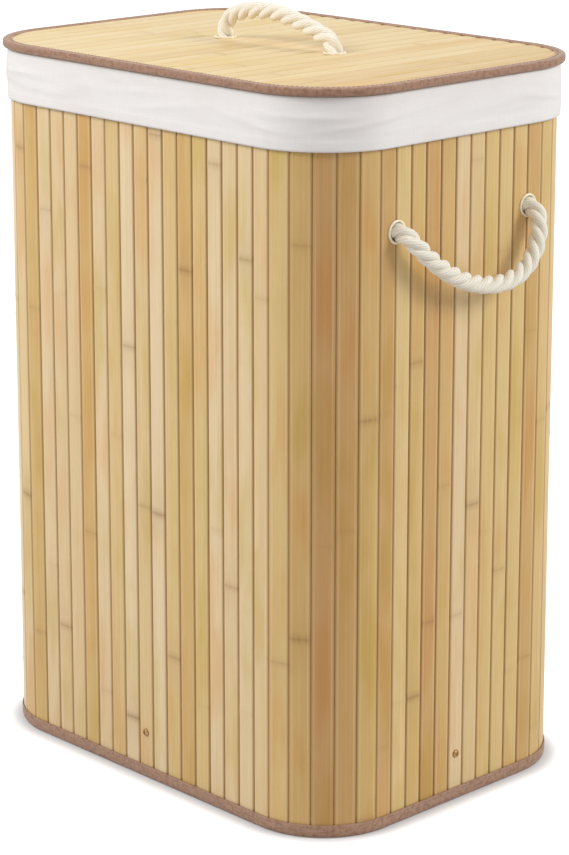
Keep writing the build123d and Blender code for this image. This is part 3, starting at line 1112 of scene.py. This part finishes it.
def knot_spread(share):
    """Strands swell out quickly from the rope, stay wide, and draw together at the end."""
    rise = min(share / knot_rise, 1.0)
    fall = min((1 - share) / knot_fall, 1.0)
    swell = math.sin(rise * math.pi / 2) * math.sqrt(max(fall * (2 - fall), 0.0))
    return knot_neck + knot_swell * swell, knot_neck_strand + (knot_strand - knot_neck_strand) * swell


def knots_at(node, places, panel, body):
    """Knots behind the washers of one panel."""
    form = bmesh.new()
    for place in places:
        start = -panel - washer_thickness - knot_clearance
        line = [place @ Vector((0, 0, start)), place @ Vector((0, 0, start - knot_length))]
        lay_strands(form, even_steps(line, rope_step / 2), knot_side, knot_spread)
    knots = new_piece(finish_mesh(f"{node}_cotton", form, rope_crease), cotton_rope, [node])
    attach(knots, body)


for side, places in eyelet_places.items():
    knots_at(f"{side}_rope_knots", places, wall_panel, "basket")


# Liner. A bag of plain white cotton hangs inside the wall from a cuff that is turned down over the
# rim and hemmed. Inside it falls in loose folds, clear of the rope knots, onto the base board.
liner_thickness = 0.0008
cuff_low, cuff_high = (corner.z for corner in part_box("liner_cuff"))
bag_low, bag_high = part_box("liner_bag")
rim_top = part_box("top_edging")[1].z
cuff_clearance = 0.0003
cuff_out = tape_out + liner_thickness + cuff_clearance
cuff_way = rim_top - cuff_low
cuff_wave = 0.0003
slow_waves, slow_wave_sway = 4, 2.0
quick_waves, quick_wave_share, quick_wave_lean = 9, 0.6, 60
hem_width = 0.0085
hem_swell = 0.0006
hem_fullness = 0.55
hem_stitch_rise = 0.8
hem_stitch_place = 0.85
bag_in = -(half_width - bag_high.x) - liner_thickness
bag_narrowing = 0.0230
bag_shoulder = 0.5015
bag_floor = bag_low.z + liner_thickness
bag_slack = 0.7
bag_folds, bag_fold_depth, bag_fold_lean, bag_fold_sway = 11, 0.0060, 3.2, 1.4
wide_folds, wide_fold_depth, wide_fold_lean = 5, 0.0045, 6.0
fold_steps = 8
cuff_steps = 30
bag_steps = 30
liner_crease = 60
liner_cotton = cloth_finish(
    "liner_cotton", srgb(241, 237, 234), srgb(235, 231, 228),
    threads=1500, relief=0.00006, roughness=0.9, sheen=0.2,
)

liner_section = [(cuff_out, cuff_low + cuff_way * step / cuff_steps) for step in range(cuff_steps + 1)]
fold_middle = (cuff_out + bag_in) / 2
fold_half = (cuff_out - bag_in) / 2
fold_rise = cuff_high - rim_top
for step in range(1, fold_steps):
    angle = math.radians(180 * step / fold_steps)
    across = fold_middle + fold_half * math.cos(angle)
    liner_section.append((across, rim_top + fold_rise * math.sin(angle)))
for step in range(bag_steps + 1):
    share = step / bag_steps
    liner_section.append((bag_in, rim_top + (bag_floor - rim_top) * share))
straight_x = half_width - corner_radius

crease_count = 110
crease_levels = (0.2, 1.0)
crease_tilt = 0.16
crease_lengths = (0.015, 0.060)
crease_widths = (0.0016, 0.0045)
crease_rises = (-0.0006, 0.0016)
chance = random.Random("cuff creases")
cuff_creases = []
for crease in range(crease_count):
    middle = chance.uniform(0, mat_round)
    level = chance.uniform(*crease_levels) * cuff_way
    tilt = chance.gauss(0.0, crease_tilt)
    length = chance.uniform(*crease_lengths)
    width = chance.uniform(*crease_widths)
    rise = chance.uniform(*crease_rises)
    cuff_creases.append((middle, level, tilt, length, width, rise))


def cuff_shape(way, height):
    """How far the cuff stands out: a rolled hem at its edge, slow waves and short creases above it."""
    above = height - cuff_low
    hem = hem_swell * math.exp(-(((above - hem_width / 2) / (hem_width * hem_fullness)) ** 4))
    slack = math.sin(math.pi * min(max(above / cuff_way, 0), 1)) ** 2
    turn = 2 * math.pi * way / mat_round
    wave = math.sin(slow_waves * turn + slow_wave_sway * math.sin(turn))
    wave += quick_wave_share * math.sin(quick_waves * turn + quick_wave_lean * above)
    creases = 0.0
    for middle, level, tilt, length, width, rise in cuff_creases:
        along = (way - middle + mat_round / 2) % mat_round - mat_round / 2
        off = above - level - tilt * along
        creases += rise * math.exp(-((along / length) ** 2) - (off / width) ** 2)
    return hem + slack * (cuff_wave * (1 + quick_wave_share + wave) + creases)


def bag_shape(way, height):
    """How far the bag falls inwards: loose upright folds that grow away from the rim and the floor."""
    down = (rim_top - height) / (rim_top - bag_floor)
    free = math.sin(math.pi * min(max(down, 0), 1)) ** bag_slack
    turn = 2 * math.pi * way / mat_round
    sway = bag_fold_sway * math.sin(2 * turn)
    fold = 0.5 + 0.5 * math.sin(bag_folds * turn + bag_fold_lean * down + sway)
    wide_fold = 0.5 + 0.5 * math.sin(wide_folds * turn - wide_fold_lean * down)
    return -free * (bag_fold_depth * fold**2 + wide_fold_depth * wide_fold)


def liner_shape(point, out, way, across):
    """Move a point of the plain liner to where the cotton hangs."""
    if across <= cuff_way:
        return point + out * cuff_shape(way, point.z)
    down = (rim_top - point.z) / (rim_top - bag_shoulder)
    narrowing = bag_narrowing * min(max(down, 0), 1)
    narrow_x = math.copysign(min(abs(point.x) / straight_x, 1) * narrowing, point.x)
    return point - Vector((narrow_x, 0, 0)) + out * bag_shape(way, point.z)


def weave_flat(form, faces):
    """Let the weave of flat faces follow their place."""
    cloth = form.loops.layers.float_vector["cloth"]
    for face in faces:
        for loop in face.loops:
            loop[cloth] = (loop.vert.co.x, loop.vert.co.y, 0)


floor_rings = (0.985, 0.93, 0.8, 0.6, 0.4, 0.2)
floor_ripple, ripples_x, ripples_y = 0.0006, 70, 40
form = sweep_round(mat_walk, liner_section, closed=False, shape=liner_shape)
form.verts.ensure_lookup_table()
rings = [[form.verts[(number + 1) * len(liner_section) - 1] for number in range(len(mat_walk) - 1)]]
floor_edge = [vert.co.copy() for vert in rings[0]]
for share in floor_rings:
    ring = []
    for edge in floor_edge:
        x, y = edge.x * share, edge.y * share
        ripple = floor_ripple * (1 - share) * (1 + math.sin(ripples_x * x + ripples_y * y))
        ring.append(form.verts.new((x, y, bag_floor + ripple)))
    rings.append(ring)
weave_flat(form, join_rings(form, rings, capped=False) + [form.faces.new(rings[-1])])
liner = new_piece(
    finish_mesh("liner_cloth", form, liner_crease), liner_cotton,
    ["liner_bag", "liner_cuff", "liner_floor", "liner_hem"],
)
stuff = liner.modifiers.new("cloth thickness", "SOLIDIFY")
stuff.thickness = liner_thickness
stuff.offset = -1
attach(liner, "liner")
hem_stitch_out = cuff_out + hem_swell * hem_stitch_rise
hem_stitch_height = cuff_low + hem_width * hem_stitch_place
stitched = stitch_row(mat_walk, hem_stitch_out, hem_stitch_height)
mesh = finish_mesh("liner_hem_stitches", stitched, stitch_crease)
hem_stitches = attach(new_piece(mesh, liner_cotton), "liner")


# Lid board and lining. A thin fibreboard core gives the lid its stiffness, and a plain cloth is
# stretched over its underside.
refinish("lid_board", board_finish)
lid_low, lid_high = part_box("lid_edging")
half_lid_x, half_lid_y = lid_high.x, lid_high.y
lid_radius = corner_radius + half_lid_x - half_width
lid_walk = walk_round(half_lid_x, half_lid_y, lid_radius)
lining_low, lining_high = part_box("lid_lining")
lining_inset = lining_high.x - half_lid_x
lid_eyelet_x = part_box("lid_eyelets")[1].x - eyelet_radius
lid_slat_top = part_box("lid_slats")[1].z
lid_places = [Matrix.Translation((x, 0, lid_slat_top)) for x in (-lid_eyelet_x, lid_eyelet_x)]
lid_holes = [(place, eyelet_hole_radius) for place in lid_places]
lid_cut_reach = 0.03
lining_section = [
    (lining_inset, lining_high.z),
    (lining_inset, lining_low.z),
]
form = sweep_round(lid_walk, lining_section, closed=False)
lining_edges = list(form.verts)
form.faces.new(lining_edges[0::2])
form.faces.new(lining_edges[1::2])
weave_flat(form, form.faces)
lining = new_piece(finish_mesh("lid_lining_cloth", form), liner_cotton, ["lid_lining"])
cut_away(lining, round_cutters(lid_holes, lid_cut_reach))
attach(lining, "lid")


# Lid slats. Bamboo strips, a little wider than those of the wall, laid close across the lid from
# front to back, so that only soft seams show between them. Their tones are paler than the wall's,
# as painted light on the lid's top, and darker towards the right, as painted shade.
lid_slats = 23
lid_slat_gap = 0.00020
lid_slat_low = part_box("lid_slats")[0].z
lid_slat_thickness = lid_slat_top - lid_slat_low
lid_core_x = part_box("lid_board")[1].x
lid_core_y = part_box("lid_board")[1].y
lid_core_radius = lid_radius - (half_lid_x - lid_core_x)
# Painted light: the lid's usual tone and palette are paler than the wall's, for its top lit from above.
lid_tone = 0.18
lid_tone_rise = 0.6
lid_tone_spread = 0.18
lid_tone_limit = 1.0
lid_bamboo = bamboo_finish(
    "lid_bamboo",
    tones=[
        (0.0, srgb(231, 209, 163)),
        (0.4, srgb(228, 202, 151)),
        (0.7, srgb(216, 184, 131)),
        (1.0, srgb(202, 164, 110)),
    ],
    edge_colour=srgb(192, 150, 96),
    edge_share=0.22,
    drift_colours=(srgb(252, 240, 220), srgb(250, 244, 216)),
    mark_colour=srgb(194, 152, 96),
)


def lid_reach(x):
    """Half the length that a lid slat may have at a place across the lid, inside its round corners."""
    beyond = abs(x) - (lid_core_x - lid_core_radius)
    if beyond <= 0:
        return lid_core_y
    return lid_core_y - lid_core_radius + math.sqrt(max(lid_core_radius**2 - beyond**2, 0))


def lid_span(middle):
    """Where a lid slat starts and ends at each place across it."""
    def span(across):
        reach = lid_reach(min(max(middle + across, -lid_core_x), lid_core_x))
        return -reach, reach

    return span


chance = random.Random("lid slats")
lid_pitch = 2 * lid_core_x / lid_slats
lying = Matrix(((0, 1, 0, 0), (0, 0, 1, 0), (1, 0, 0, 0), (0, 0, 0, 1)))
form = start_slats()
for number in range(lid_slats):
    middle = (number - (lid_slats - 1) / 2) * lid_pitch
    # Painted shade: slats towards the right end get a darker usual tone.
    usual = lid_tone + lid_tone_rise * max(middle / lid_core_x, 0)
    tone = slat_tone(chance, usual, lid_tone_spread, lid_tone_limit)
    place = Matrix.Translation((middle, 0, lid_slat_top)) @ lying
    add_slat(form, place, lid_pitch - lid_slat_gap, lid_slat_thickness, lid_span(middle), tone, chance)
lid_top_slats = new_piece(finish_mesh("lid_slats_bamboo", form), lid_bamboo, ["lid_slats"])
cut_away(lid_top_slats, round_cutters(lid_holes, lid_cut_reach))
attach(lid_top_slats, "lid")


# Lid edging. The same brown tape, folded round the lid's rim and sewn through near its inner edge.
lid_tape_width = 0.008
lid_tape_round = 0.0016
lid_tape_round_steps = 5
lid_tape_lift = 0.0001
lid_tape_edge = (0.0003, 0.0002)
lid_tape_gap = 0.0001
top_face = lid_high.z
bottom_face = lid_low.z


def lid_tape_section():
    """Closed section of the tape round the lid: top band, round outer edge, bottom band and back."""
    edge_in, edge_drop = lid_tape_edge
    points = [
        (-lid_tape_width, lid_slat_top + lid_tape_lift),
        (-lid_tape_width + edge_in, top_face - edge_drop),
        (-lid_tape_width / 2, top_face),
    ]
    for middle, start in ((top_face - lid_tape_round, 90), (bottom_face + lid_tape_round, 0)):
        for step in range(lid_tape_round_steps + 1):
            angle = math.radians(start - 90 * step / lid_tape_round_steps)
            points.append((
                -lid_tape_round + lid_tape_round * math.cos(angle),
                middle + lid_tape_round * math.sin(angle),
            ))
    inside = -(half_lid_x - lid_core_x) + lid_tape_gap
    points += [
        (-lid_tape_width / 2, bottom_face),
        (-lid_tape_width, bottom_face),
        (-lid_tape_width, lining_low.z - lid_tape_lift),
        (inside, lining_low.z - lid_tape_lift),
        (inside, lid_slat_top + lid_tape_lift),
    ]
    return points


mesh = finish_mesh("lid_edging_tape", sweep_round(lid_walk, lid_tape_section()), tape_crease)
lid_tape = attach(new_piece(mesh, edging_tape, ["lid_edging"]), "lid")
stitched = stitch_row(lid_walk, -lid_tape_width + tape_stitch_inset, top_face, flat_out=True)
mesh = finish_mesh("lid_edging_stitches", stitched, stitch_crease)
lid_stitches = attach(new_piece(mesh, tape_thread), "lid")


# Lid handle. A short arch of the same rope through two eyelets in the lid, knotted underneath.
# It is stiff enough to stand, and can be pushed over to either side.
lid_panel = lid_slat_top - lining_low.z
eyelets_at("lid_eyelets", lid_places, lid_panel, "lid")
knots_at("lid_rope_knots", lid_places, lid_panel, "lid")
lid_route = [
    (-lid_eyelet_x, 0, eyelet_way_in),
    (-lid_eyelet_x, 0, -0.001),
    (-0.060, 0, 0.0085),
    (-0.042, 0, 0.0155),
    (-0.018, 0, 0.018),
    (0.006, 0, 0.0165),
    (0.030, 0, 0.011),
    (0.051, 0, 0.0045),
    (lid_eyelet_x, 0, -0.001),
    (lid_eyelet_x, 0, eyelet_way_in),
]
lid_swing_blend = 0.7 * swing_blend
place = Matrix.Translation((0, 0, lid_slat_top + swing_out))
lid_handle, line = rope_along("lid_rope", place, lid_route, (0, 1, 0))
flange_face = Vector((0, 0, lid_slat_top + flange_height))
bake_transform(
    lid_handle, "lid", "lid_handle", start=flange_face, end=flange_face + Vector((0, 0, lid_swing_blend))
)


# Stage. A plain white floor under soft studio light, its glow dimmed close round the base as a
# painted contact shadow: a large lamp high on the right, a smaller one in front, and an even white
# surround. The camera looks at the front right corner from above.
floor_reach = 6.0
floor_grey = (0.62, 0.62, 0.62, 1)
floor_glow = (0.15, 0.85)
floor_shadow = 0.022
surround_light = 0.5
surround_seen = 1.0


def seen_rays(tree):
    """1 for what the eye sees, straight or mirrored, and 0 for the light that falls on the part."""
    rays = add_node(tree, "ShaderNodeLightPath").outputs
    seen = calculate(tree, "MAXIMUM", rays["Is Camera Ray"], rays["Is Glossy Ray"])
    return calculate(tree, "MAXIMUM", seen, rays["Is Transmission Ray"])


def calculate_vector(tree, operation, *vectors):
    """Arithmetic on vectors or sockets."""
    return add_node(tree, "ShaderNodeVectorMath", dict(enumerate(vectors)), operation=operation).outputs


mesh = bpy.data.meshes.new("studio_floor")
floor_corners = [(x * floor_reach, y * floor_reach, 0) for x, y in ((-1, -1), (1, -1), (1, 1), (-1, 1))]
mesh.from_pydata(floor_corners, [], [(0, 1, 2, 3)])
floor = bpy.data.objects.new("studio_floor", mesh)
bpy.context.scene.collection.objects.link(floor)
floor_finish, tree, shader = start_finish("studio_floor")
mesh.materials.append(floor_finish)
shader.inputs["Base Color"].default_value = floor_grey
shader.inputs["Roughness"].default_value = 0.9
shader.inputs["Specular IOR Level"].default_value = 0.1
on_floor = add_node(tree, "ShaderNodeNewGeometry").outputs["Position"]
on_floor = calculate_vector(tree, "ABSOLUTE", on_floor)[0]
# Painted contact shadow: the floor's seen glow falls from 0.85 to 0.15 within 22 mm of the base's outline,
# deepening the real shadow there.
straight_edge = (half_width - corner_radius, half_depth - corner_radius, 0)
beyond = calculate_vector(tree, "SUBTRACT", on_floor, straight_edge)[0]
beyond = calculate_vector(tree, "MAXIMUM", beyond, (0, 0, 0))[0]
from_corner = calculate_vector(tree, "LENGTH", beyond)["Value"]
fade = scale_to(tree, from_corner, corner_radius, corner_radius + floor_shadow, *floor_glow)
brightness = calculate(tree, "MULTIPLY", seen_rays(tree), fade)
glow = add_node(tree, "ShaderNodeEmission", {"Strength": brightness})
both = add_node(tree, "ShaderNodeAddShader", {0: shader.outputs[0], 1: glow.outputs[0]})
tree.links.new(both.outputs[0], tree.nodes["Material Output"].inputs["Surface"])

world = bpy.data.worlds.new("studio")
bpy.context.scene.world = world
world.use_nodes = True
tree = world.node_tree
surround = tree.nodes["Background"]
surround.inputs["Color"].default_value = (1, 1, 1, 1)
brightness = scale_to(tree, seen_rays(tree), 0.0, 1.0, surround_light, surround_seen)
tree.links.new(brightness, surround.inputs["Strength"])


def soft_lamp(name, place, aim, size, power):
    """Large square lamp that faces a point."""
    lamp = bpy.data.lights.new(name, "AREA")
    lamp.shape = "SQUARE"
    lamp.size = size
    lamp.energy = power
    holder = bpy.data.objects.new(name, lamp)
    holder.location = place
    holder.rotation_euler = (Vector(aim) - Vector(place)).to_track_quat("-Z", "Y").to_euler()
    bpy.context.scene.collection.objects.link(holder)


body_middle = (0, 0, 0.35)
soft_lamp("right_lamp", place=(3.0, 1.8, 2.5), aim=body_middle, size=1.6, power=82)
soft_lamp("left_lamp", place=(-0.7, -1.7, 1.9), aim=body_middle, size=1.0, power=31)

camera_away = 2.28061
camera_turn = 46.312
camera_height = 0.92629
camera_pitch = 12.923
focal_pixels = 2793.2
image_height = 855
frame_down = 150
frame_right = 5.458
camera = bpy.data.cameras.new("camera")
camera.sensor_width = 36.0
camera.lens = camera.sensor_width * focal_pixels / image_height
camera.shift_x = frame_right / image_height
camera.shift_y = -frame_down / image_height
holder = bpy.data.objects.new("camera", camera)
turn = math.radians(camera_turn)
holder.location = (camera_away * math.sin(turn), -camera_away * math.cos(turn), camera_height)
holder.rotation_euler = (math.radians(90 - camera_pitch), 0, turn)
bpy.context.scene.collection.objects.link(holder)
bpy.context.scene.camera = holder
bpy.context.scene.view_settings.view_transform = "Standard"
